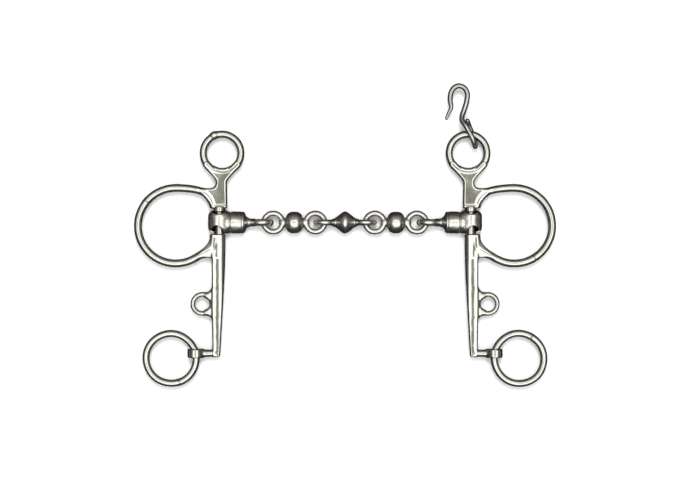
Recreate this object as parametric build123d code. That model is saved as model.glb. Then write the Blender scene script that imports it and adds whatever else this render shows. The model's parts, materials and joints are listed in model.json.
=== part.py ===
from build123d import *
import os
from math import atan2, cos, hypot, radians, sin

# A Pelham curb bit with a ball-chain mouthpiece, lying flat. Millimetres.
# X runs along the mouthpiece, +Y points to the headstall rings, +Z is up off the table.
# The origin is the middle of the mouthpiece, and both sides mirror about the plane X = 0.

# Mouthpiece: middle link
MIDDLE_BALL_RADIUS = 6.5
MIDDLE_BALL_HALF_LENGTH = 7.6
MIDDLE_BALL_WAIST = (4.71, 3.9)
MIDDLE_BALL_END_RADIUS = 1.43
MIDDLE_EYE_CENTRE = 12.1
MIDDLE_EYE_RADIUS = 5.1
LINK_WIRE_RADIUS = 1.6

# Mouthpiece: side ball links
BALL_CENTRE = 29.9
BALL_RADIUS = 6.3
BALL_HALF_LENGTH = 5.0
BALL_EDGE_ROUND = 4.0
BALL_RING_OFFSET = 12.4
BALL_RING_RADIUS = 5.45
BALL_NECK_RADIUS = 2.0

# Mouthpiece: mouth ends, each a bar with a barrel that turns on the cheek's pin
PIN_AXIS = 73.9
END_EYE_CENTRE = 48.9
END_EYE_RADIUS = 5.0
END_EYE_WIRE_RADIUS = 1.9
NECK_START = 53.2
NECK_START_RADIUS = 1.7
NECK_END = 58.0
NECK_END_RADIUS = 3.3
BARREL_START = 58.4
BARREL_RADIUS = 6.5
BARREL_EDGE_ROUND = 1.4
GROOVE_CENTRES = (60.5, 67.4, 70.5)
GROOVE_RADIUS = 0.35
KNUCKLE_RADIUS = 6.8
KNUCKLE_FLAT = 6.3
PIN_HOLE_RADIUS = 3.1
PIN_HOLE_FLARE = 0.8

# Cheek casting
CHEEK_THICKNESS = 4.7
CHEEK_EDGE_ROUND = 1.9
CHEEK_INNER_FACE = 69.8
HEADSTALL_CENTRE = (72.4, 40.9)
HEADSTALL_OUTER = 13.15
HEADSTALL_INNER = 9.0
ARM_WAIST_OUTER = (76.0, 26.0)
ARM_WAIST_INNER = (69.7, 26.0)
BRADOON_CENTRE = (99.7, -1.9)
BRADOON_OUTER = 24.55
BRADOON_INNER = 19.85
COLLAR_RADIUS = 4.1
COLLAR_ROUND = 0.9
COLLAR_PROUD = 0.2
SHOULDER_SPREAD = 0.4
UPPER_COLLAR = (7.2, 9.9)
LOWER_COLLAR = (-9.4, -6.9)
SHANK_BOTTOM = -78.6
SHANK_KNEE = (71.3, -46.0)
SHANK_FOOT_INNER = (73.0, SHANK_BOTTOM)
SHANK_FOOT_OUTER = (76.9, SHANK_BOTTOM)
WEB_RISE = 2.0
WEB_DROP = 1.2
# The outline's corners, by place, and the radius that blends each.
CHEEK_BLENDS = (
    (ARM_WAIST_OUTER, 5.0),
    (ARM_WAIST_INNER, 5.0),
    ((77.8, 9.2), 5.5),
    ((78.3, -13.9), 4.2),
    (SHANK_KNEE, 200.0),
    (SHANK_FOOT_INNER, 1.6),
    (SHANK_FOOT_OUTER, 1.0),
)
LIP_EYE_CENTRE = (84.0, -47.9)
LIP_EYE_OUTER = 7.0
LIP_EYE_INNER = 4.25
LIP_EYE_THICKNESS = 3.0
LIP_EYE_EDGE_ROUND = 0.9
LIP_EYE_FOOT_CENTRE = 76.875
LIP_EYE_FOOT_LENGTH = 5.0
LUG_CENTRE = (88.0, -77.0)
LUG_LENGTH = 5.2
LUG_OUTER = 4.8
LUG_INNER = 3.0
LUG_EDGE_ROUND = 0.8
LUG_NECK_START = 75.0
LUG_NECK_STEP = 0.4

# Pin that closes each cheek through its barrel
PIN_RADIUS = 2.6
SPIGOT_RADIUS = 1.5
SPIGOT_LENGTH = 4.0

# Loose pieces
CURB_RING_CENTRE = (102.4, -80.0)
CURB_RING_RADIUS = 14.7
CURB_RING_WIRE_RADIUS = 2.1
HOOK_WIRE_RADIUS = 1.5
HOOK_ROUTE = [
    (59.6, 61.3, 1.2),
    (62.8, 67.8, 1.2),
    (60.9, 80.4, 1.2),
    (73.1, 80.4, 1.2),
    (67.8, 60.6, 2.2),
    (71.9, 54.8, 4.3),
    (76.2, 46.2, 4.3),
    (77.4, 45.4, -4.3),
    (74.2, 54.6, -4.3),
    (71.7, 60.8, -1.2),
]
HOOK_BENDS = [4.0, 4.9, 4.9, 5.0, 5.0, 3.4, 3.4, 4.0]


def ring_flat(x, radius, wire):
    """A round-wire ring lying in the XY plane."""
    return Pos(x, 0, 0) * Torus(radius, wire)


def ring_upright(x, radius, wire):
    """A round-wire ring standing in the XZ plane."""
    return Pos(x, 0, 0) * Rot(90, 0, 0) * Torus(radius, wire)


def turned(profile):
    """A solid turned about the X axis from a closed outline in the upper half of the XY plane."""
    return revolve(make_face(profile), axis=Axis.X)


def middle_link():
    """The spinning-top ball at the middle, with an upright eye on each side."""
    half, peak = MIDDLE_BALL_HALF_LENGTH, MIDDLE_BALL_RADIUS
    waist, end = MIDDLE_BALL_WAIST, (half, MIDDLE_BALL_END_RADIUS)
    right = Spline((0, peak), waist, end, tangents=((1, -0.12), (1, -0.35)))
    left = Spline((-end[0], end[1]), (-waist[0], waist[1]), (0, peak), tangents=((1, 0.35), (1, 0.12)))
    ends = Line(end, (end[0], 0)) + Line((end[0], 0), (-end[0], 0)) + Line((-end[0], 0), (-end[0], end[1]))
    ball = turned(left + right + ends)
    eyes = [ring_upright(s * MIDDLE_EYE_CENTRE, MIDDLE_EYE_RADIUS, LINK_WIRE_RADIUS) for s in (-1, 1)]
    return ball + eyes


def ball_link():
    """One side's ball, with a flat ring on each side of it."""
    bead = fillet(
        (Rot(0, 90, 0) * Cylinder(BALL_RADIUS, 2 * BALL_HALF_LENGTH)).edges().filter_by(GeomType.CIRCLE),
        BALL_EDGE_ROUND,
    )
    reach = BALL_RING_OFFSET - BALL_RING_RADIUS
    neck = Rot(0, 90, 0) * Cylinder(BALL_NECK_RADIUS, 2 * reach)
    link = bead + neck
    for side in (-1, 1):
        link += ring_flat(side * BALL_RING_OFFSET, BALL_RING_RADIUS, LINK_WIRE_RADIUS)
    return Pos(BALL_CENTRE, 0, 0) * link


def barrel_bar():
    """The turned bar of a mouth end: neck, barrel and the ball-shaped knuckle."""
    shoulder = (BARREL_START, BARREL_RADIUS - BARREL_EDGE_ROUND)
    top = (BARREL_START + BARREL_EDGE_ROUND, BARREL_RADIUS)
    neck_foot = (NECK_START, NECK_START_RADIUS)
    neck_top = (NECK_END, NECK_END_RADIUS)
    knuckle_start = (PIN_AXIS - (KNUCKLE_RADIUS**2 - BARREL_RADIUS**2) ** 0.5, BARREL_RADIUS)
    knuckle_top = (PIN_AXIS, KNUCKLE_RADIUS)
    knuckle_end = (PIN_AXIS + KNUCKLE_RADIUS, 0)
    arc_mid = (PIN_AXIS + KNUCKLE_RADIUS * cos(radians(45)), KNUCKLE_RADIUS * sin(radians(45)))
    rise_mid = (
        (knuckle_start[0] + knuckle_top[0]) / 2,
        (KNUCKLE_RADIUS**2 - ((PIN_AXIS - knuckle_start[0]) / 2) ** 2) ** 0.5,
    )
    outline = (
        Line((NECK_START, 0), neck_foot)
        + Spline(neck_foot, neck_top, tangents=((1, 0.05), (1, 0.8)))
        + Line(neck_top, (BARREL_START, NECK_END_RADIUS))
        + Line((BARREL_START, NECK_END_RADIUS), shoulder)
        + RadiusArc(shoulder, top, BARREL_EDGE_ROUND)
        + Line(top, knuckle_start)
        + ThreePointArc(knuckle_start, rise_mid, knuckle_top)
        + ThreePointArc(knuckle_top, arc_mid, knuckle_end)
        + Line(knuckle_end, (NECK_START, 0))
    )
    return turned(outline)


def mouth_end():
    """A mouth end: its upright eye, the turned bar and the cross hole for the cheek's pin."""
    body = barrel_bar()
    for x in GROOVE_CENTRES:
        body -= Pos(x, 0, 0) * Rot(0, 90, 0) * Torus(BARREL_RADIUS, GROOVE_RADIUS)
    flat_block = Box(2 * KNUCKLE_RADIUS, 2 * KNUCKLE_FLAT, 2 * KNUCKLE_RADIUS)
    knuckle_zone = Box(2 * KNUCKLE_RADIUS, 4 * KNUCKLE_FLAT, 2 * KNUCKLE_RADIUS)
    body -= Pos(PIN_AXIS, 0, 0) * (knuckle_zone - flat_block)
    body -= Pos(PIN_AXIS, 0, 0) * Rot(90, 0, 0) * Cylinder(PIN_HOLE_RADIUS, 4 * KNUCKLE_FLAT)
    for side in (-1, 1):
        flare = Cone(PIN_HOLE_RADIUS, PIN_HOLE_RADIUS + PIN_HOLE_FLARE, PIN_HOLE_FLARE)
        seat = Pos(PIN_AXIS, side * (KNUCKLE_FLAT - PIN_HOLE_FLARE / 2), 0)
        body -= seat * Rot(-90 * side, 0, 0) * flare
    return body + ring_upright(END_EYE_CENTRE, END_EYE_RADIUS, END_EYE_WIRE_RADIUS)


def disc(centre, radius):
    """A flat disc at a point of the cheek's plane."""
    return Pos(centre[0], centre[1]) * Circle(radius)


def tangent_point(point, centre, radius, turn):
    """Where the line from a point touches a circle, on the side given by turn."""
    dx, dy = point[0] - centre[0], point[1] - centre[1]
    reach = hypot(dx, dy)
    angle = atan2(dy, dx) + turn * atan2((reach**2 - radius**2) ** 0.5, radius)
    return (centre[0] + radius * cos(angle), centre[1] + radius * sin(angle))


def flat_shape(*points):
    """A flat polygon whose normal is +Z, whichever way round its corners are given."""
    pairs = zip(points, points[1:] + points[:1])
    doubled_area = sum(a[0] * b[1] - b[0] * a[1] for a, b in pairs)
    return Polygon(*(points if doubled_area > 0 else points[::-1]), align=None)


def cheek_outline():
    """The cheek seen from above: headstall ring, arm, bradoon ring and shank, with the barrel's gap."""
    inner, outer = CHEEK_INNER_FACE, PIN_AXIS + COLLAR_RADIUS
    upper, lower = UPPER_COLLAR[0], LOWER_COLLAR[1]
    arm = flat_shape(
        (inner, upper),
        (outer, upper),
        ARM_WAIST_OUTER,
        tangent_point(ARM_WAIST_OUTER, HEADSTALL_CENTRE, HEADSTALL_OUTER, 1),
        HEADSTALL_CENTRE,
        tangent_point(ARM_WAIST_INNER, HEADSTALL_CENTRE, HEADSTALL_OUTER, -1),
        ARM_WAIST_INNER,
    )
    shank = flat_shape(
        (inner, lower),
        (outer + SHOULDER_SPREAD, lower),
        SHANK_FOOT_OUTER,
        SHANK_FOOT_INNER,
        SHANK_KNEE,
    )
    upper_corner = (outer, upper + WEB_RISE)
    lower_corner = (outer + SHOULDER_SPREAD, lower - WEB_DROP)
    upper_touch = tangent_point(upper_corner, BRADOON_CENTRE, BRADOON_INNER, -1)
    lower_touch = tangent_point(lower_corner, BRADOON_CENTRE, BRADOON_INNER, 1)
    inside = flat_shape(upper_corner, upper_touch, lower_touch, lower_corner)
    gap = Pos(PIN_AXIS, (upper + lower) / 2) * Rectangle(4 * COLLAR_RADIUS, upper - lower)
    discs = [disc(HEADSTALL_CENTRE, HEADSTALL_OUTER), disc(BRADOON_CENTRE, BRADOON_OUTER)]
    openings = [disc(BRADOON_CENTRE, BRADOON_INNER), disc(HEADSTALL_CENTRE, HEADSTALL_INNER), inside, gap]
    return Sketch() + [arm, shank, *discs] - openings


def corner_near(outline, place):
    """The outline's corner nearest to a place."""
    return min(outline.vertices(), key=lambda v: hypot(v.X - place[0], v.Y - place[1]))


def rounded_plate(outline, thickness, rounding):
    """A flat outline made solid about the plane Z = 0, with its upper and lower edges rounded off."""
    plate = extrude(outline, thickness / 2, both=True)
    edges = [e for e in plate.edges() if abs(abs(e.center().Z) - thickness / 2) < 1e-6]
    return fillet(edges, rounding)


def cheek_plate():
    """The cheek's flat casting, with its web corners blended."""
    outline = cheek_outline()
    for place, radius in CHEEK_BLENDS:
        outline = fillet(corner_near(outline, place), radius)
    return rounded_plate(outline, CHEEK_THICKNESS, CHEEK_EDGE_ROUND)


def collar(span, radius):
    """A turned collar round the pin's axis, rounded at its outer corners."""
    length = span[1] - span[0]
    ring = Rot(90, 0, 0) * Cylinder(radius, length)
    ring = fillet(ring.edges().filter_by(GeomType.CIRCLE), COLLAR_ROUND)
    return Pos(PIN_AXIS, (span[0] + span[1]) / 2, 0) * ring


def lip_strap_eye():
    """The small eye on the shank's outer edge, with a foot that joins it to the shank."""
    foot = Pos(LIP_EYE_FOOT_CENTRE, LIP_EYE_CENTRE[1]) * Rectangle(LIP_EYE_FOOT_LENGTH, LIP_EYE_OUTER)
    outline = Sketch() + [disc(LIP_EYE_CENTRE, LIP_EYE_OUTER), foot] - disc(LIP_EYE_CENTRE, LIP_EYE_INNER)
    return rounded_plate(outline, LIP_EYE_THICKNESS, LIP_EYE_EDGE_ROUND)


def lug():
    """The eye at the foot of the shank, whose hole runs along the shank."""
    x, y = LUG_CENTRE
    boss = Rot(90, 0, 0) * Cylinder(LUG_OUTER, LUG_LENGTH) - Rot(90, 0, 0) * Cylinder(LUG_INNER, LUG_LENGTH)
    boss = fillet(boss.edges().filter_by(GeomType.CIRCLE), LUG_EDGE_ROUND)
    neck_end = x - LUG_INNER - LUG_NECK_STEP
    neck = Box(neck_end - LUG_NECK_START, LUG_LENGTH - LUG_NECK_STEP, CHEEK_THICKNESS)
    neck = fillet(neck.edges().filter_by(Axis.X), CHEEK_EDGE_ROUND)
    return Pos(x, y, 0) * boss + Pos((LUG_NECK_START + neck_end) / 2, y, 0) * neck


def pivot_pin():
    """The pin that runs through the barrel, with a spigot at each end seated in the cheek."""
    low, high = LOWER_COLLAR[1], UPPER_COLLAR[0]
    middle = Pos(PIN_AXIS, (low + high) / 2, 0) * Rot(90, 0, 0)
    shaft = middle * Cylinder(PIN_RADIUS, high - low)
    return shaft + middle * Cylinder(SPIGOT_RADIUS, high - low + 2 * SPIGOT_LENGTH)


def cheek():
    """The whole cheek casting, with blind holes for the pin's spigots."""
    body = cheek_plate() + lip_strap_eye() + lug()
    body += collar(UPPER_COLLAR, COLLAR_RADIUS + COLLAR_PROUD)
    body += collar(LOWER_COLLAR, COLLAR_RADIUS + SHOULDER_SPREAD + COLLAR_PROUD)
    return body - pivot_pin()


def curb_ring():
    """The loose rein ring that hangs in the lug."""
    return Pos(*CURB_RING_CENTRE, 0) * Torus(CURB_RING_RADIUS, CURB_RING_WIRE_RADIUS)


def curb_hook():
    """The bent-wire hook that takes the curb chain, closed round the headstall ring."""
    route = FilletPolyline(*HOOK_ROUTE, radius=HOOK_BENDS)
    start = Plane(origin=route @ 0, z_dir=route % 0)
    wire = sweep(start * Circle(HOOK_WIRE_RADIUS), path=route)
    for end in (0, 1):
        wire += Pos(route @ end) * Sphere(HOOK_WIRE_RADIUS)
    return wire


def build():
    """Every piece, by node name."""
    sides = {
        "ball_link": ball_link(),
        "mouth_end": mouth_end(),
        "cheek": cheek(),
        "pivot_pin": pivot_pin(),
        "curb_ring": curb_ring(),
    }
    nodes = {"middle_link": middle_link(), "curb_hook": curb_hook()}
    for name, piece in sides.items():
        nodes["right_" + name] = piece
        nodes["left_" + name] = mirror(piece, Plane.YZ)
    return nodes


os.makedirs("parts", exist_ok=True)
for node, piece in build().items():
    export_step(piece, f"parts/{node}.step")
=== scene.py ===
import json
from math import cos, pi, radians, sin

import bpy
import numpy as np
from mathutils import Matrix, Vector


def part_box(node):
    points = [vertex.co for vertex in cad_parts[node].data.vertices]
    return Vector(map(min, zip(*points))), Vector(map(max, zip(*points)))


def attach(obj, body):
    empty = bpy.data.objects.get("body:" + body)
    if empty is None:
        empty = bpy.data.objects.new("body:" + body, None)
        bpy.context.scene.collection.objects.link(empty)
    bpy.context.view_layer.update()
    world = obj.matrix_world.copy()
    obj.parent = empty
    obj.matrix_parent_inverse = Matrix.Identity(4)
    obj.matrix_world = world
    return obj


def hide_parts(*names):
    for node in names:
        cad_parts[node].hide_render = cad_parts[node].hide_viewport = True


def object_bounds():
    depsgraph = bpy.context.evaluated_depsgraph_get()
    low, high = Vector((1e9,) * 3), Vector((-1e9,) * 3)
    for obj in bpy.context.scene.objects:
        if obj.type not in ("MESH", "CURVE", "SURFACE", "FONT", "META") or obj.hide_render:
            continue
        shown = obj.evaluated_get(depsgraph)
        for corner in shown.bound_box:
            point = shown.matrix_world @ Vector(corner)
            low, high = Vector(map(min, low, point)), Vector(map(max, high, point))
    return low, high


# A Pelham curb bit: each casting is a smooth field of rounded shapes blended into one another, which
# surface_of turns into a mesh. Field dimensions are in millimetres in the frame's own axes, and X grows
# from the middle of the mouthpiece outwards: the fields describe the right side, and the left mirrors it.

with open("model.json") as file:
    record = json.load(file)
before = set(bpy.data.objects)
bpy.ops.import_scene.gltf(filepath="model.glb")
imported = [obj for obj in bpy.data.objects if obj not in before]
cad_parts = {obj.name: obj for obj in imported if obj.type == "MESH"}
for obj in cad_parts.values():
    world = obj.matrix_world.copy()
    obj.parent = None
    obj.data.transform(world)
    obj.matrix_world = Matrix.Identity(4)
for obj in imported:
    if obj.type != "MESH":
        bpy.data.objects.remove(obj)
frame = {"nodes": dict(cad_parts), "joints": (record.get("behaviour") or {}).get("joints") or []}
cad_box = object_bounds()

MM = 0.001
JOINTS = {joint["name"]: joint for joint in frame["joints"]}


def joint_x(name):
    """How far out from the middle a joint sits, in millimetres."""
    return abs(JOINTS[name]["pos_m"][0]) / MM


def node_box(node):
    """A node's lowest and highest corners, in millimetres."""
    return tuple(np.array(corner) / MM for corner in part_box(node))


PIN_AXIS = joint_x("right_cheek_swivel")
LINK_WIRE = 1.6

# Fillets: where an eye or a bar runs into a body, where a flat ring meets its ball, and at a cut's edge.
EYE_BLEND, RING_BLEND, CUT_EDGE = 1.6, 1.2, 0.4

# Middle link: a top-shaped ball, and the eyes on each side of it.
MIDDLE_WAIST, MIDDLE_SWELL, MIDDLE_SPREAD, MIDDLE_TAPER = 1.6, 4.9, 5.2, 0.05
MIDDLE_HALF = 7.6
MIDDLE_EYE_X, MIDDLE_EYE_RADIUS = 12.1, 5.1

# Ball link: the ball, its neck, and the flat rings on each side of it.
BALL_X = 29.9
BALL_HALF, BALL_RADIUS, BALL_ROUNDING = 4.9, 6.35, 4.0
BALL_NECK_HALF, BALL_NECK_RADIUS = 6.6, 2.0
BALL_RING_REACH, BALL_RING_RADIUS = 12.4, 5.45

# Mouth end: its eye, the neck that widens to the barrel, and the barrel's grooves as place, depth, width.
EYE_X, EYE_RADIUS, EYE_WIRE = 48.9, 5.0, 1.9
BAR_START, BAR_END = 53, 71.0
NECK_RADIUS, NECK_GAIN, NECK_START, NECK_LENGTH, NECK_CURVE = 1.8, 1.7, 53.5, 4.8, 1.6
BARREL_RADIUS, BARREL_START, BARREL_EDGE = 6.45, 58.7, 0.28
BARREL_GROOVES = ((60.6, 0.28, 0.28), (67.4, 0.5, 0.42), (70.4, 0.3, 0.3))

# The knuckle's lowest and highest Y, and those of the gap in the cheek that it fills.
KNUCKLE = (-6.45, 7.3)
FORK = (-6.8, 8.3)
KNUCKLE_RADIUS, KNUCKLE_ROUNDING, KNUCKLE_WALL = 6.7, 3.8, 1.1
PIN_BORE, PIN_BORE_HALF = 3.1, 9
# The slots at the knuckle's lower and upper end: offset from the pin's axis, half width, half length.
LOWER_SLOT = (1.3, 4.4, 4.5)
UPPER_SLOT = (0.3, 4.0, 2.6)
# The short boss on the arm's foot that sits in the knuckle's upper slot, its lowest Y, and its play.
BOSS_RADIUS = 3.5
BOSS_FOOT = 6.2
BOSS_PLAY, BOSS_FOOT_PLAY = 0.4, 0.5

# Cheek: the headstall ring and the lump on its seam.
HEADSTALL = (72.4, 40.9, 0)
HEADSTALL_RADIUS, HEADSTALL_WIRE = 11.1, 2.1
HEADSTALL_HOLE = 8.95
LUMP_RADIUS, LUMP_ANGLE, LUMP_REACH, LUMP_HEIGHT = 2.1, radians(66), 11.5, 0.6

# Cheek: the bradoon ring. Each bulge is how far it stands out, its angle and its spread in degrees.
BRADOON = (99.7, -1.9, 0)
BRADOON_RADIUS, BRADOON_WIRE = 22.2, 2.3
BRADOON_BULGES = ((3.8, 138, 24), (2.4, 210, 14))
BRADOON_ARC = (radians(-165), radians(155))

# Cheek: the shank, from its foot up to the fork. Its inner and outer edges are Y places, then X there.
SHANK_FOOT = -79.1
SHANK_INNER = ((-78.6, -46, -7), (73.6, 71.7, 69.5))
SHANK_OUTER = ((-78.6, -60, -7), (77.9, 78.2, 78.4))
SHANK_HALF, SHANK_ROUNDING, SHANK_CREST = 2.35, 0.85, 75.4
# How gently the shank falls away from its crest, and how steeply past the start of its inner side.
SHANK_FALL, SHANK_STEEP_FALL, SHANK_STEEP_START = 21, 6, 2.5

# Cheek: the arm from the fork up to the headstall ring, with its edges given like the shank's.
ARM_INNER = ((9, 24, 29), (69.3, 69.6, 70.3))
ARM_OUTER = ((8, 14, 24, 29), (77.4, 76.9, 75.9, 75.4))
ARM_MIDDLE_Y, ARM_HALF_LENGTH = 19, 12
ARM_FLANKS = (((73.6, 25.6), (81.4, 33.9)), ((71.8, 25.6), (63.5, 34.1)))
ARM_FLANK_RADIUS = 2.1
ARM_THROAT, ARM_THROAT_RADIUS = ((72.5, 29), (72.5, 31.5)), 4.5
ARM_HALF, ARM_BEVEL, ARM_BEND, ARM_ROUNDING = 2.2, 1.45, 1.75, 0.7
ARM_GROOVE_RISE, ARM_GROOVE_DEPTH, ARM_GROOVE_WIDTH = 1.9, 0.25, 0.35

# Cheek: the webs between its bar and the bradoon ring. Their back is a line, given by a point on it and
# the direction square to it.
WEB_RISE, WEB_DROP = 20.2, -20.7
WEB_BACK, WEB_BACK_NORMAL = (78.5, 9.5), (0.774, -0.633)
WEB_INNER_X, WEB_START = 74.5, 8.5
WEB_HALF, WEB_ROUNDING = 1.8, 0.9

# Cheek: the lip-strap eye, and each of its webs as start, end and the radii there.
LIP_EYE = (84.0, -47.9, 0)
LIP_EYE_RADIUS, LIP_EYE_WIRE = 5.6, 1.42
LIP_EYE_WEBS = (
    ((80.9, -43.2, 0), (76.5, -38.6, 0), 1.4, 1.3),
    ((81.2, -52.8, 0), (76.4, -56.2, 0), 1.4, 1.2),
)

# Cheek: the lug at its foot, a bar out to a short tube.
LUG = (88.0, -77.0, 0)
LUG_BAR = ((76.4, -76.9, 0), (84.6, -77, 0), 2.1, 2.25)
LUG_HALF, LUG_RADIUS, LUG_ROUNDING, LUG_BORE, LUG_BORE_HALF = 2.55, 4.75, 0.7, 3.0, 4

# The gap in the cheek that the knuckle fills stops short of the bradoon ring.
GAP_END_X = 84

# Loose rings, and the welds that close them.
CURB_RING_RADIUS, CURB_RING_WIRE = 14.7, 2.08
WELD_LUMP, WELD_WIDTH, WELD_SEAM, WELD_REACH = 0.22, 1.3, 0.35, 5.0

# How far apart the points of each piece's sampling grid are, and the room left round its CAD box.
CELL = {"middle_link": 0.3, "ball_link": 0.3, "mouth_end": 0.26, "cheek": 0.42, "curb_ring": 0.4}
FIELD_ROOM = 0.5


# ---------------------------------------------------------------- fields

def length(v):
    return np.sqrt((v * v).sum(-1))


def torus(p, centre, axis, major, minor):
    """A ring of round wire about one of the frame's axes."""
    q = p - np.array(centre)
    along = q[:, axis]
    across = np.sqrt(np.maximum((q * q).sum(-1) - along * along, 0)) - major
    return np.sqrt(across * across + along * along) - minor


def rod(p, start, end, r_start, r_end, height=1.0):
    """A bar with round ends, tapering from one radius to another; height scales its thickness in Z."""
    stretch = np.array((1, 1, 1 / height))
    a, b = np.array(start) * stretch, np.array(end) * stretch
    q = p * stretch - a
    t = np.clip(q @ (b - a) / ((b - a) @ (b - a)), 0, 1)
    d = length(q - t[:, None] * (b - a)) - (r_start + (r_end - r_start) * t)
    return d * min(1, height)


def arc_rod(p, centre, major, minor, start, end):
    """Part of a flat ring, from one angle round to another; major gives its radius at an angle."""
    q = p - np.array(centre)
    middle, half = (start + end) / 2, (end - start) / 2
    angle = np.arctan2(q[:, 1], q[:, 0]) - middle
    angle = (angle + pi) % (2 * pi) - pi
    angle = np.clip(angle, -half, half) + middle
    radius = major(angle)
    on_arc = np.stack([radius * np.cos(angle), radius * np.sin(angle), 0 * angle], -1)
    return length(q - on_arc) - minor


def collar(p, centre, axis, low, high, radius, rounding, bore=0.0):
    """A turned collar about an axis, rounded at its corners, with an optional bore."""
    q = p - np.array(centre)
    along = q[:, axis]
    out = np.sqrt(np.maximum((q * q).sum(-1) - along * along, 0))
    wall = (radius - bore) / 2
    side = np.abs(out - radius + wall) - wall if bore else out - radius
    return rounded([side, np.abs(along - (low + high) / 2) - (high - low) / 2], rounding)


def rounded(sides, rounding):
    """The distance to a rounded block, from how far outside each of its pairs of faces a point is."""
    q = np.stack(sides, -1) + rounding
    return length(np.maximum(q, 0)) + np.minimum(q.max(-1), 0) - rounding


def join(a, b, k):
    """Two shapes run together with a fillet of about k."""
    h = np.clip(0.5 + 0.5 * (b - a) / k, 0, 1)
    return b * (1 - h) + a * h - k * h * (1 - h)


def cut(a, b, k):
    """The first shape less the second, with the edge rounded by about k."""
    return -join(-a, b, k)


def run_together(shapes, k):
    """Several shapes joined one after another."""
    total = shapes[0]
    for shape in shapes[1:]:
        total = join(total, shape, k)
    return total


def uneven(p, amount, period, phase):
    """The slight hand-finished unevenness of a casting."""
    w = 2 * pi / period
    x, y, z = p[:, 0] + phase, p[:, 1] - 2 * phase, p[:, 2]
    return amount * np.sin(w * x + 1.7 * np.sin(w * 0.6 * y)) * np.sin(w * y + 0.8 * w * z)


# ---------------------------------------------------------------- field to mesh

def sample(field, axes):
    """The field on a grid, a slab at a time."""
    shape = [len(a) for a in axes]
    value = np.empty(shape, np.float32)
    for i, x in enumerate(axes[0]):
        grid = np.stack(np.meshgrid([x], axes[1], axes[2], indexing="ij"), -1).reshape(-1, 3)
        value[i] = field(grid).reshape(shape[1:])
    return value


def crossings(value, axis, axes):
    """Where the surface crosses the grid's edges along an axis, and the crossing points."""
    low = np.take(value, range(value.shape[axis] - 1), axis)
    high = np.take(value, range(1, value.shape[axis]), axis)
    crossed = (low < 0) != (high < 0)
    index = np.argwhere(crossed)
    share = low[crossed] / (low[crossed] - high[crossed])
    points = np.stack([axes[k][index[:, k]] for k in range(3)], -1)
    points[:, axis] += share * (axes[axis][1] - axes[axis][0])
    return index, points, low[crossed] < 0


def grid_mesh(value, axes):
    """Surface nets: one vertex in each crossed cell and one quad across each crossed edge."""
    cells = np.array(value.shape) - 1
    total, count = np.zeros((cells.prod(), 3)), np.zeros(cells.prod())
    quads = []
    for axis in range(3):
        index, points, starts_inside = crossings(value, axis, axes)
        u, v = (axis + 1) % 3, (axis + 2) % 3
        around = []
        for du, dv in ((1, 1), (0, 1), (0, 0), (1, 0)):
            cell = index.copy()
            cell[:, u] -= du
            cell[:, v] -= dv
            flat = np.ravel_multi_index(cell.T, cells)
            np.add.at(total, flat, points)
            np.add.at(count, flat, 1)
            around.append(flat)
        ring = np.stack(around, -1)
        ring[~starts_inside] = ring[~starts_inside][:, ::-1]
        quads.append(ring)
    used = np.flatnonzero(count)
    number = np.full(cells.prod(), -1)
    number[used] = np.arange(len(used))
    return total[used] / count[used, None], number[np.concatenate(quads)]


def gradient(field, p, step=0.01):
    """How the field grows along each axis."""
    slope = np.empty_like(p)
    for axis in range(3):
        offset = np.zeros(3)
        offset[axis] = step
        slope[:, axis] = (field(p + offset) - field(p - offset)) / (2 * step)
    return slope


def settle(field, points, cell):
    """Move each vertex on to the surface itself, and give the surface's normal there."""
    for _ in range(4):
        slope = gradient(field, points)
        square = np.maximum((slope * slope).sum(-1), 1e-6)
        move = slope * (field(points) / square)[:, None]
        far = np.maximum(length(move) / cell, 1)
        points = points - move / far[:, None]
    slope = gradient(field, points)
    return points, slope / np.maximum(length(slope), 1e-6)[:, None]


def surface_of(name, field, low, high, cell, mirrored=False):
    """A mesh object of a field's surface, between two corners, in millimetres."""
    margin = 2 * cell
    axes = [np.arange(low[k] - margin, high[k] + margin + cell, cell) for k in range(3)]
    points, quads = grid_mesh(sample(field, axes), axes)
    points, normals = settle(field, points, cell)
    if mirrored:
        points, normals, quads = points * (-1, 1, 1), normals * (-1, 1, 1), quads[:, ::-1]
    return mesh_object(name, points * MM, quads.tolist(), normals)


def mesh_object(name, points, faces, normals):
    """A smooth-shaded object of a mesh, with the surface's own normals."""
    mesh = bpy.data.meshes.new(name)
    mesh.from_pydata(points.tolist(), [], faces)
    mesh.shade_smooth()
    mesh.normals_split_custom_set_from_vertices(normals.tolist())
    obj = bpy.data.objects.new(name, mesh)
    bpy.context.scene.collection.objects.link(obj)
    return obj


# ---------------------------------------------------------------- the pieces' fields

def middle_link_field(p):
    """A spinning-top ball with an upright eye on each side. The ball's field is eased where it slopes."""
    x = np.abs(p[:, 0])
    radius = MIDDLE_WAIST + MIDDLE_SWELL * np.exp(-((x / MIDDLE_SPREAD) ** 2)) - MIDDLE_TAPER * x
    ball = (np.hypot(p[:, 1], p[:, 2]) - radius) * 0.75
    ball = np.maximum(ball, x - MIDDLE_HALF)
    eyes = [torus(p, (side * MIDDLE_EYE_X, 0, 0), 1, MIDDLE_EYE_RADIUS, LINK_WIRE) for side in (-1, 1)]
    return run_together([ball, *eyes], EYE_BLEND) + uneven(p, 0.04, 9, 0.3)


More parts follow.
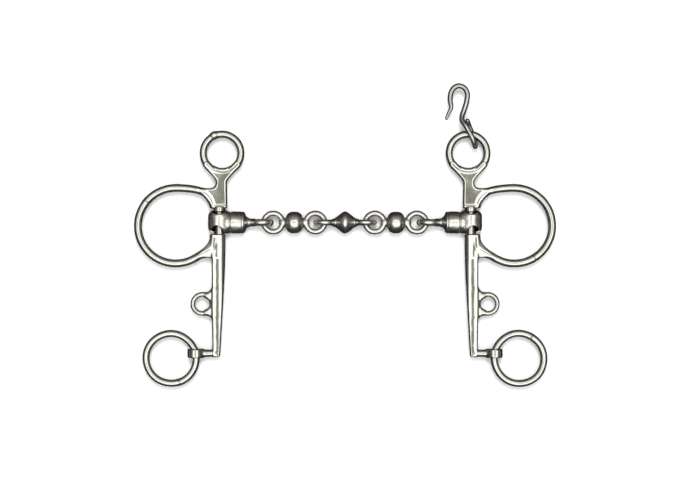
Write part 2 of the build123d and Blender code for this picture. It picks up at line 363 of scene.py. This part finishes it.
def ball_link_field(phase):
    """A ball with a flat ring on each side."""
    neck_ends = [(BALL_X + side * BALL_NECK_HALF, 0, 0) for side in (-1, 1)]
    ring_centres = [(BALL_X + side * BALL_RING_REACH, 0, 0) for side in (-1, 1)]

    def field(p):
        bead = collar(p, (BALL_X, 0, 0), 0, -BALL_HALF, BALL_HALF, BALL_RADIUS, BALL_ROUNDING)
        rings = [torus(p, centre, 2, BALL_RING_RADIUS, LINK_WIRE) for centre in ring_centres]
        body = join(bead, rod(p, *neck_ends, BALL_NECK_RADIUS, BALL_NECK_RADIUS), 1.5)
        return run_together([body, *rings], RING_BLEND) + uneven(p, 0.05, 8, phase)

    return field


def barrel_radius(x):
    """The turned bar's radius along the mouthpiece."""
    neck = NECK_RADIUS + NECK_GAIN * np.clip((x - NECK_START) / NECK_LENGTH, 0, 1) ** NECK_CURVE
    step = 1 / (1 + np.exp(-(x - BARREL_START) / BARREL_EDGE))
    radius = neck + (BARREL_RADIUS - neck) * step
    for groove, depth, width in BARREL_GROOVES:
        radius -= depth * np.exp(-(((x - groove) / width) ** 2))
    return radius


def knuckle_slot(p, slot, y, knuckle):
    """An oval slot into the knuckle from above, down past the pin, with a wall left below and beside it."""
    offset, half_width, half_length = slot
    across, along = (p[:, 0] - PIN_AXIS - offset) / half_width, (p[:, 1] - y) / half_length
    oval = (np.hypot(across, along) - 1) * min(half_width, half_length)
    return np.maximum(oval, np.minimum(-p[:, 2], knuckle + KNUCKLE_WALL))


def mouth_end_field(phase):
    """A mouth end: upright eye, neck, grooved barrel, and a knuckle slotted so that the cheek can rock."""
    low, high = KNUCKLE

    def field(p):
        x, y, z = p.T
        bar = (np.hypot(y, z) - barrel_radius(x)) * 0.6
        bar = np.maximum(bar, np.maximum(BAR_START - x, x - BAR_END))
        knuckle = collar(p, (PIN_AXIS, 0, 0), 1, low, high, KNUCKLE_RADIUS, KNUCKLE_ROUNDING)
        body = join(bar, knuckle, 0.35)
        from_axis = np.hypot(x - PIN_AXIS, z)
        body = cut(body, np.maximum(from_axis - PIN_BORE, np.abs(y) - PIN_BORE_HALF), CUT_EDGE)
        seat = np.maximum(from_axis - BOSS_RADIUS - BOSS_PLAY, BOSS_FOOT - BOSS_FOOT_PLAY - y)
        body = cut(body, seat, CUT_EDGE)
        body = cut(body, knuckle_slot(p, LOWER_SLOT, low, knuckle), 0.5)
        body = cut(body, knuckle_slot(p, UPPER_SLOT, high, knuckle), 0.5)
        eye = torus(p, (EYE_X, 0, 0), 1, EYE_RADIUS, EYE_WIRE)
        return join(body, eye, EYE_BLEND) + uneven(p, 0.03, 7, phase)

    return field


def bradoon_radius(angle):
    """The bradoon ring's radius: round on its outer side, and drawn out where it runs into the cheek."""
    turn = np.degrees(angle) % 360
    radius = BRADOON_RADIUS
    for bulge, place, spread in BRADOON_BULGES:
        radius = radius + bulge * np.exp(-(((turn - place) / spread) ** 2))
    return radius


def between_edges(x, y, inner, outer):
    """How far outside a bar a point is, from the bar's inner and outer edges at its Y."""
    near, far = np.interp(y, *inner), np.interp(y, *outer)
    return np.abs(x - (near + far) / 2) - (far - near) / 2


def shank_field(p):
    """The shank: crested along its length, with a steep inner side that narrows downwards."""
    x, y, z = p.T
    low, high = SHANK_FOOT, FORK[0]
    side = between_edges(x, y, SHANK_INNER, SHANK_OUTER)
    steep = np.maximum(SHANK_CREST - SHANK_STEEP_START - x, 0)
    fall = (x - SHANK_CREST) ** 2 / SHANK_FALL + steep ** 2 / SHANK_STEEP_FALL
    top = np.abs(z) + np.minimum(fall, SHANK_HALF) - SHANK_HALF
    end = np.abs(y - (low + high) / 2) - (high - low) / 2
    return rounded([side, top, end], SHANK_ROUNDING)


def capsule_plan(p, start, end, radius):
    """A stadium seen from above, as a distance that doesn't depend on Z."""
    flat = p * (1, 1, 0)
    return rod(flat, start + (0,), end + (0,), radius, radius)


def corner_plan(x, y, rise):
    """A web's outline between the cheek's bar and the bradoon ring, above the knuckle or (rise < 0) below."""
    up = y * np.sign(rise)
    back = (x - WEB_BACK[0]) * WEB_BACK_NORMAL[0] + (up - WEB_BACK[1]) * WEB_BACK_NORMAL[1]
    return np.maximum.reduce([up - abs(rise), back, WEB_INNER_X - x, WEB_START - up])


def bevelled_plate(plan, z, half, bevel, bend, rounding):
    """A flat-topped plate from its outline, bent away from the flat within a bevel of its edges."""
    fall = np.maximum(bevel + plan, 0) ** 2 / (2 * bend)
    return rounded([plan, np.abs(z) + np.minimum(fall, half) - half], rounding)


def arm_field(p):
    """The arm: a flat plate that spreads into the headstall ring above and the bradoon ring beside it."""
    x, y, z = p.T
    side = between_edges(x, y, ARM_INNER, ARM_OUTER)
    bar = np.maximum(side, np.abs(y - ARM_MIDDLE_Y) - ARM_HALF_LENGTH)
    flanks = [capsule_plan(p, *ends, ARM_FLANK_RADIUS) for ends in ARM_FLANKS]
    throat = capsule_plan(p, *ARM_THROAT, ARM_THROAT_RADIUS)
    hole = HEADSTALL_HOLE - np.hypot(x - HEADSTALL[0], y - HEADSTALL[1])
    plan = join(run_together([bar, *flanks, throat], 1.5), corner_plan(x, y, WEB_RISE), 3.4)
    plan = np.maximum.reduce([plan, hole, FORK[1] - y])
    plate = bevelled_plate(plan, z, ARM_HALF, ARM_BEVEL, ARM_BEND, ARM_ROUNDING)
    from_groove = (y - FORK[1] - ARM_GROOVE_RISE) / ARM_GROOVE_WIDTH
    return plate + ARM_GROOVE_DEPTH * np.exp(-(from_groove ** 2))


def lip_eye_field(p):
    """The lip-strap eye, with a web each way into the shank."""
    eye = torus(p, LIP_EYE, 2, LIP_EYE_RADIUS, LIP_EYE_WIRE)
    return run_together([eye, *(rod(p, *web) for web in LIP_EYE_WEBS)], 2.0)


def lug_field(p):
    """The lug at the shank's foot: a bar out to a short tube that the curb ring runs through."""
    tube = collar(p, LUG, 1, -LUG_HALF, LUG_HALF, LUG_RADIUS, LUG_ROUNDING, bore=LUG_BORE)
    return join(rod(p, *LUG_BAR), tube, 1.4)


def cheek_field(phase, weld, lump):
    """A cheek: headstall ring, arm, bradoon ring, shank, lip-strap eye and lug.

    weld is the angle of the bradoon ring's seam, and lump the size of the headstall ring's, or 0 for none.
    """
    lump_x = HEADSTALL[0] + LUMP_REACH * cos(LUMP_ANGLE)
    lump_y = HEADSTALL[1] + LUMP_REACH * sin(LUMP_ANGLE)
    lump_centre = np.array((lump_x, lump_y, LUMP_HEIGHT))

    def field(p):
        x, y, z = p.T
        head = torus(p, HEADSTALL, 2, HEADSTALL_RADIUS, HEADSTALL_WIRE)
        if lump:
            head = join(head, length(p - lump_centre) - lump, EYE_BLEND)
        top = join(arm_field(p), head, 0.8)
        foot = rounded([corner_plan(x, y, WEB_DROP), np.abs(z) - WEB_HALF], WEB_ROUNDING)
        foot = run_together([shank_field(p), foot, lip_eye_field(p)], EYE_BLEND)
        ring = arc_rod(p, BRADOON, bradoon_radius, BRADOON_WIRE, *BRADOON_ARC)
        gap = np.maximum(np.abs(y - sum(FORK) / 2) - (FORK[1] - FORK[0]) / 2, x - GAP_END_X)
        body = cut(join(join(top, ring, 1.0), foot, EYE_BLEND), gap, 0.9)
        boss = collar(p, (PIN_AXIS, 0, 0), 1, BOSS_FOOT, FORK[1] + 1, BOSS_RADIUS, 0.6)
        body = join(body, boss, 0.3)
        bore = np.maximum(np.hypot(x - LUG[0], z) - LUG_BORE, np.abs(y - LUG[1]) - LUG_BORE_HALF)
        body = cut(join(body, lug_field(p), 0.9), bore, CUT_EDGE)
        return body - weld_bead(p, BRADOON, BRADOON_RADIUS, weld) + uneven(p, 0.03, 13, phase)

    return field


def weld_bead(p, centre, major, angle):
    """How far a ring's closing weld stands proud, with the fine seam down its middle."""
    q = p - np.array((centre[0] + major * cos(angle), centre[1] + major * sin(angle), 0))
    along = -q[:, 0] * sin(angle) + q[:, 1] * cos(angle)
    near = np.exp(-((length(q) / WELD_REACH) ** 4))
    bead = WELD_LUMP * np.exp(-((along / WELD_WIDTH) ** 2))
    seam = 1.6 * WELD_LUMP * np.exp(-((along / WELD_SEAM) ** 2))
    return near * (bead - seam)


def curb_ring_field(phase, weld):
    """A loose ring, bent not quite round, with its closing weld."""
    low, high = node_box("right_curb_ring")
    centre = (low + high) / 2

    def field(p):
        q = p - centre
        angle = np.arctan2(q[:, 1], q[:, 0])
        bent = 0.12 * np.cos(2 * angle + phase) + 0.06 * np.cos(5 * angle + 2 * phase)
        across = np.hypot(q[:, 0], q[:, 1]) - CURB_RING_RADIUS - bent
        ring = np.sqrt(across ** 2 + q[:, 2] ** 2) - CURB_RING_WIRE
        return ring - weld_bead(p, centre, CURB_RING_RADIUS, weld)

    return field


# ---------------------------------------------------------------- the hook

# The hook's wire from its free end, over the bend, and down into the loop round the headstall ring:
# X, Y, Z and the wire's radius at each point.
HOOK_ROUTE = (
    (59.6, 61.3, 1.0, 0.95),
    (61.0, 64.6, 1.1, 1.05),
    (62.4, 67.6, 1.2, 1.25),
    (61.8, 71.6, 1.2, 1.5),
    (62.1, 75.8, 1.2, 1.55),
    (64.0, 79.1, 1.2, 1.55),
    (67.1, 80.3, 1.2, 1.55),
    (70.3, 78.9, 1.2, 1.55),
    (71.9, 75.6, 1.2, 1.55),
    (71.5, 71.3, 1.3, 1.55),
    (70.1, 66.6, 1.6, 1.55),
    (68.7, 62.6, 2.1, 1.55),
    (68.8, 59.6, 2.9, 1.55),
    (70.7, 56.6, 3.9, 1.55),
    (72.7, 53.0, 4.3, 1.55),
    (74.6, 49.4, 4.1, 1.55),
    (76.0, 46.0, 2.5, 1.55),
    (76.6, 44.8, 0.0, 1.55),
    (76.7, 46.4, -2.6, 1.55),
    (75.9, 50.2, -4.2, 1.5),
    (74.8, 53.4, -4.3, 1.5),
    (73.5, 56.6, -3.5, 1.45),
    (72.2, 60.0, -1.6, 1.35),
)


def smooth_route(points, steps=10):
    """A Catmull-Rom curve through the points, with any further columns carried along."""
    p = np.array(points, float)
    p = np.vstack([2 * p[0] - p[1], p, 2 * p[-1] - p[-2]])
    t = np.linspace(0, 1, steps, endpoint=False)[:, None]
    out = []
    for a, b, c, d in zip(p, p[1:], p[2:], p[3:]):
        square, cube = 2 * a - 5 * b + 4 * c - d, 3 * b - a - 3 * c + d
        out.append(0.5 * (2 * b + (c - a) * t + square * t**2 + cube * t**3))
    return np.vstack([*out, p[-2]])


def frames_along(path, radii):
    """At each point of a path: the point, two directions across it, the one along it, and its radius."""
    tangents = np.gradient(path, axis=0)
    tangents /= length(tangents)[:, None]
    last = Vector(tangents[0])
    normal = Vector((0, 0, 1)).cross(last).normalized()
    frames = []
    for centre, tangent, radius in zip(path, tangents, radii):
        now = Vector(tangent)
        normal = last.rotation_difference(now) @ normal
        last = now
        frames.append((centre, np.array(normal), np.array(now.cross(normal)), tangent, radius))
    return frames


def bent_wire(name, route, sides=28, cap_rings=7):
    """A tube along a route with round ends, its radius taken from the route's fourth column."""
    line = smooth_route(route)
    frames = frames_along(line[:, :3], line[:, 3])
    leans = [pi / 2 * (i + 0.5) / cap_rings for i in range(cap_rings)]
    start = [(frames[0], -lean) for lean in reversed(leans)]
    end = [(frames[-1], lean) for lean in leans]
    rings = start + [(frame_here, 0.0) for frame_here in frames] + end
    turn = np.linspace(0, 2 * pi, sides, endpoint=False)
    points, normals = [], []
    for (centre, u, v, along, radius), lean in rings:
        spoke = np.cos(turn)[:, None] * u + np.sin(turn)[:, None] * v
        facing = spoke * cos(lean) + along * sin(lean)
        points.append(centre + radius * facing)
        normals.append(facing)
    faces = []
    for i in range(len(rings) - 1):
        for j in range(sides):
            here, there, beside = i * sides, (i + 1) * sides, (j + 1) % sides
            faces.append((here + beside, there + beside, there + j, here + j))
    total = len(rings) * sides
    faces += [list(range(sides)), list(range(total - sides, total))[::-1]]
    return mesh_object(name, np.vstack(points) * MM, faces, np.vstack(normals))


# ---------------------------------------------------------------- materials

# Sizes of the noise patterns are in repeats to the metre, and bump heights in metres.
CLOUD_SCALE, GRAIN_SCALE, PIT_SCALE, WAVE_SCALE = 160.0, 2600.0, 420.0, 110.0
# The two sets of polishing lines, each an angle and a scale, and how much of the surface a line covers.
POLISHING = ((0.3, 2400.0), (1.9, 1900.0))
LINE_COVER = 0.02
# Painted shade: the crevice reach and the dark grime colour below paint ambient-occlusion darkness into
# crevices and slots, on top of polishing grime there.
CREVICE_REACH = 0.006
PIT_COLOUR = (0.2, 0.19, 0.165, 1)
GRIME_AND_SHADE_COLOUR = (0.06, 0.058, 0.05, 1)
GRIME_ROUGHNESS = (0.5, 0.5, 0.5, 1)


def node(tree, kind, **values):
    """A shader node, with inputs set by name and other settings as attributes."""
    made = tree.nodes.new("ShaderNode" + kind)
    for key, value in values.items():
        if key in made.inputs:
            made.inputs[key].default_value = value
        else:
            setattr(made, key.lower(), value)
    return made


def ramp(tree, source, stops):
    """A colour ramp of grey or coloured stops."""
    made = tree.nodes.new("ShaderNodeValToRGB")
    elements = made.color_ramp.elements
    while len(elements) < len(stops):
        elements.new(0.5)
    for element, (place, colour) in zip(elements, stops):
        element.position = place
        element.color = (*colour, 1) if isinstance(colour, tuple) else (colour, colour, colour, 1)
    tree.links.new(source, made.inputs["Fac"])
    return made.outputs["Color"]


def mix(tree, kind, factor, a, b):
    """Mix two colours; each of factor, a and b is a socket or a value."""
    made = tree.nodes.new("ShaderNodeMix")
    made.data_type = "RGBA"
    made.blend_type = kind
    for socket, value in ((made.inputs[0], factor), (made.inputs[6], a), (made.inputs[7], b)):
        if isinstance(value, bpy.types.NodeSocket):
            tree.links.new(value, socket)
        else:
            socket.default_value = value
    return made.outputs[2]


def scratches(tree, place, angle, scale, cover):
    """Fine polishing lines that run one way."""
    mapping = node(tree, "Mapping")
    mapping.inputs["Rotation"].default_value = (0.15, 0.1, angle)
    mapping.inputs["Scale"].default_value = (scale, scale * 0.03, scale * 0.6)
    tree.links.new(place, mapping.inputs["Vector"])
    lines = node(tree, "TexNoise", Scale=1.0, Detail=3.0, Roughness=0.7)
    tree.links.new(mapping.outputs["Vector"], lines.inputs["Vector"])
    return ramp(tree, lines.outputs["Fac"], ((0.5 - cover, 0.0), (0.5, 1.0), (0.5 + cover, 0.0)))


def polished_steel(name, tint, gloss, wave, pits):
    """Hand-polished stainless steel: soft waves, fine lines, casting pits, and polishing grime with painted
    shade in the crevices.

    gloss is its lowest roughness, wave the height of its waves, and pits how far a pit spreads.
    """
    material = bpy.data.materials.new(name)
    material.use_nodes = True
    tree = material.node_tree
    link = tree.links.new
    steel = tree.nodes["Principled BSDF"]
    steel.inputs["Metallic"].default_value = 1.0
    steel.inputs["IOR"].default_value = 2.6
    steel.inputs["Specular Tint"].default_value = (0.62, 0.62, 0.58, 1)
    place = node(tree, "TexCoord").outputs["Object"]

    cloud = node(tree, "TexNoise", Scale=CLOUD_SCALE, Detail=4.0, Roughness=0.6)
    link(place, cloud.inputs["Vector"])
    grain = node(tree, "TexNoise", Scale=GRAIN_SCALE, Detail=3.0, Roughness=0.65)
    link(place, grain.inputs["Vector"])
    lines = [scratches(tree, place, angle, scale, LINE_COVER) for angle, scale in POLISHING]
    both_lines = mix(tree, "LIGHTEN", 1.0, lines[0], lines[1])

    spots = node(tree, "TexVoronoi", Scale=PIT_SCALE, Randomness=1.0)
    link(place, spots.inputs["Vector"])
    pit = ramp(tree, spots.outputs["Distance"], ((0.0, 1.0), (pits, 0.55), (pits * 2, 0.0)))
    rare = ramp(tree, cloud.outputs["Fac"], ((0.52, 0.0), (0.6, 1.0)))
    pit = mix(tree, "MULTIPLY", 1.0, pit, rare)

    # Painted shade: an ambient-occlusion mask darkens crevices and slots where shade falls, mixed with
    # polishing grime there.
    shade = node(tree, "AmbientOcclusion", Distance=CREVICE_REACH)
    shade.samples = 8
    crevice = ramp(tree, shade.outputs["AO"], ((0.24, 1.0), (0.58, 0.0)))
    patchy = ramp(tree, grain.outputs["Fac"], ((0.3, 0.65), (0.7, 1.0)))
    crevice = mix(tree, "MULTIPLY", 1.0, crevice, patchy)

    light = tuple(1.04 * c for c in tint)
    dark = tuple(0.9 * c for c in tint)
    base = ramp(tree, cloud.outputs["Fac"], ((0.35, dark), (0.65, light)))
    base = mix(tree, "MIX", pit, base, PIT_COLOUR)
    base = mix(tree, "MIX", crevice, base, GRIME_AND_SHADE_COLOUR)
    link(base, steel.inputs["Base Color"])

    rough = ramp(tree, cloud.outputs["Fac"], ((0.3, gloss), (0.7, gloss * 1.9)))
    rough = mix(tree, "ADD", 0.06, rough, both_lines)
    rough = mix(tree, "ADD", 0.03, rough, grain.outputs["Fac"])
    rough = mix(tree, "MIX", crevice, rough, GRIME_ROUGHNESS)
    link(rough, steel.inputs["Roughness"])

    soft = node(tree, "TexNoise", Scale=WAVE_SCALE, Detail=1.5, Roughness=0.4)
    link(place, soft.inputs["Vector"])
    waves = node(tree, "Bump", Strength=1.0, Distance=wave)
    link(soft.outputs["Fac"], waves.inputs["Height"])
    fine = node(tree, "Bump", Strength=0.12, Distance=0.00001)
    link(both_lines, fine.inputs["Height"])
    link(waves.outputs["Normal"], fine.inputs["Normal"])
    dents = node(tree, "Bump", Strength=0.6, Distance=0.00005)
    dents.invert = True
    link(pit, dents.inputs["Height"])
    link(fine.outputs["Normal"], dents.inputs["Normal"])
    link(dents.outputs["Normal"], steel.inputs["Normal"])
    return material


def floor_material():
    """Matt, nearly white card."""
    material = bpy.data.materials.new("pale_card")
    material.use_nodes = True
    card = material.node_tree.nodes["Principled BSDF"]
    card.inputs["Base Color"].default_value = (0.9, 0.9, 0.915, 1)
    card.inputs["Roughness"].default_value = 0.95
    card.inputs["Specular IOR Level"].default_value = 0.1
    return material


# ---------------------------------------------------------------- building

# The cheeks, the loose rings, the duller links of the mouthpiece, the darker hook, and the pivot pins.
CAST = polished_steel("cast_stainless", (0.66, 0.655, 0.625), 0.06, 0.00006, 0.09)
WIRE = polished_steel("wire_stainless", (0.68, 0.675, 0.65), 0.05, 0.00003, 0.05)
MOUTH = polished_steel("mouth_stainless", (0.74, 0.72, 0.69), 0.17, 0.00009, 0.09)
HOOK = polished_steel("hook_stainless", (0.47, 0.47, 0.47), 0.06, 0.00003, 0.05)
TURNED = polished_steel("turned_stainless", (0.6, 0.59, 0.56), 0.12, 0.00004, 0.05)


def finish_piece(obj, node_name, material):
    """Put a piece in a CAD node's place, on its body and in its material slot."""
    obj.data.materials.append(material)
    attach(obj, node_name)
    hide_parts(node_name)


def field_piece(name, kind, box_node, field, material, mirrored=False):
    """A piece made from a field, sampled within a CAD node's box."""
    low, high = node_box(box_node)
    obj = surface_of(name + "_surface", field, low - FIELD_ROOM, high + FIELD_ROOM, CELL[kind], mirrored)
    finish_piece(obj, name, material)


def build_side(side, phase, weld, ring_weld):
    """One side's castings and its loose ring. The left side is the right one's mirror, finished by hand.

    phase shifts the hand-finished unevenness, and the welds are the angles of the two rings' seams.
    """
    mirrored = side == "left"
    lump = LUMP_RADIUS if mirrored else 0
    kinds = {
        "ball_link": (ball_link_field(phase), "cast_steel", MOUTH),
        "mouth_end": (mouth_end_field(phase), "cast_steel", MOUTH),
        "cheek": (cheek_field(phase, weld, lump), "cast_steel", CAST),
        "curb_ring": (curb_ring_field(phase, ring_weld), "steel_wire", WIRE),
    }
    for kind, (field, slot, material) in kinds.items():
        field_piece(f"{side}_{kind}", kind, f"right_{kind}", field, material, mirrored)
    for held in frame["nodes"][f"{side}_pivot_pin"].material_slots:
        held.material = TURNED


field_piece("middle_link", "middle_link", "middle_link", middle_link_field, MOUTH)
build_side("right", 2.1, radians(-58), radians(60))
build_side("left", 5.3, radians(40), radians(-110))
finish_piece(bent_wire("curb_hook_wire", HOOK_ROUTE), "curb_hook", HOOK)


# ---------------------------------------------------------------- floor, light and camera

FLOOR_SIZE, FLOOR_GAP = 3.0, 0.0002
CEILING_STRENGTH = 2.0
# The camera's place and the width that it sees at Z 0, in metres, and its sensor's width in millimetres.
CAMERA_PLACE, VIEW_WIDTH, SENSOR_WIDTH = (0.0029, -0.0162, 0.9), 0.412, 36


def make_floor():
    """A pale floor just under the bit's lowest point, which isn't mirrored in the steel."""
    ground = cad_box[0][2]
    bpy.ops.mesh.primitive_plane_add(size=FLOOR_SIZE, location=(0, 0, ground - FLOOR_GAP))
    floor = bpy.context.object
    floor.name = "floor"
    floor.data.materials.append(floor_material())
    floor.visible_glossy = False


def area_light(name, place, size, power, colour=(1, 1, 1)):
    """A round soft lamp aimed at the middle, which lights the floor but isn't mirrored in the steel."""
    data = bpy.data.lights.new(name, "AREA")
    data.shape = "DISK"
    data.size = size
    data.energy = power
    data.color = colour
    lamp = bpy.data.objects.new(name, data)
    lamp.location = place
    lamp.rotation_euler = (-Vector(place)).to_track_quat("-Z", "Y").to_euler()
    lamp.visible_glossy = False
    bpy.context.scene.collection.objects.link(lamp)


def make_world():
    """A bright studio ceiling with a dark spot straight above, falling to dark walls and a grey one on +Y.

    Each wall is a ramp from the horizon at 0 up to the ceiling near 1.
    """
    world = bpy.data.worlds.new("studio")
    world.use_nodes = True
    tree = world.node_tree
    direction = node(tree, "TexCoord").outputs["Generated"]
    height = node(tree, "VectorMath", Operation="DOT_PRODUCT")
    height.inputs[1].default_value = (0.05, -0.15, 1.0)
    tree.links.new(direction, height.inputs[0])
    split = node(tree, "SeparateXYZ")
    tree.links.new(direction, split.inputs[0])
    far_side = node(tree, "MapRange")
    far_side.inputs["From Min"].default_value = -0.35
    far_side.inputs["From Max"].default_value = 0.45
    tree.links.new(split.outputs["Y"], far_side.inputs["Value"])
    dark_wall = (
        (0.0, (0.016, 0.016, 0.016)),
        (0.34, (0.028, 0.028, 0.026)),
        (0.62, (0.06, 0.06, 0.054)),
        (0.78, (0.22, 0.22, 0.2)),
        (0.9, (1.0, 1.0, 0.96)),
    )
    grey_wall = (
        (0.0, (0.02, 0.019, 0.019)),
        (0.22, (0.09, 0.086, 0.08)),
        (0.55, (0.15, 0.145, 0.13)),
        (0.78, (0.24, 0.235, 0.21)),
        (0.9, (1.0, 1.0, 0.96)),
    )
    walls = [ramp(tree, height.outputs["Value"], wall) for wall in (dark_wall, grey_wall)]
    sky = mix(tree, "MIX", far_side.outputs["Result"], *walls)
    overhead = ramp(tree, split.outputs["Z"], ((0.978, (1.0, 1.0, 1.0)), (0.991, (0.17, 0.17, 0.145))))
    sky = mix(tree, "MULTIPLY", 1.0, sky, overhead)
    tree.links.new(sky, tree.nodes["Background"].inputs["Color"])
    tree.nodes["Background"].inputs["Strength"].default_value = CEILING_STRENGTH
    bpy.context.scene.world = world


def make_camera():
    """Straight above, far enough off that the view is almost parallel."""
    data = bpy.data.cameras.new("camera")
    data.sensor_width = SENSOR_WIDTH
    data.lens = SENSOR_WIDTH * CAMERA_PLACE[2] / VIEW_WIDTH
    camera = bpy.data.objects.new("camera", data)
    camera.location = CAMERA_PLACE
    bpy.context.scene.collection.objects.link(camera)
    bpy.context.scene.camera = camera


make_floor()
make_world()
area_light("key", (0.03, 0.42, 1.15), 0.34, 8.0, (1.0, 0.99, 0.97))
area_light("fill", (0.0, 0.0, 1.3), 1.2, 8.0, (0.94, 0.95, 1.0))
make_camera()
bpy.context.scene.view_settings.view_transform = "Standard"
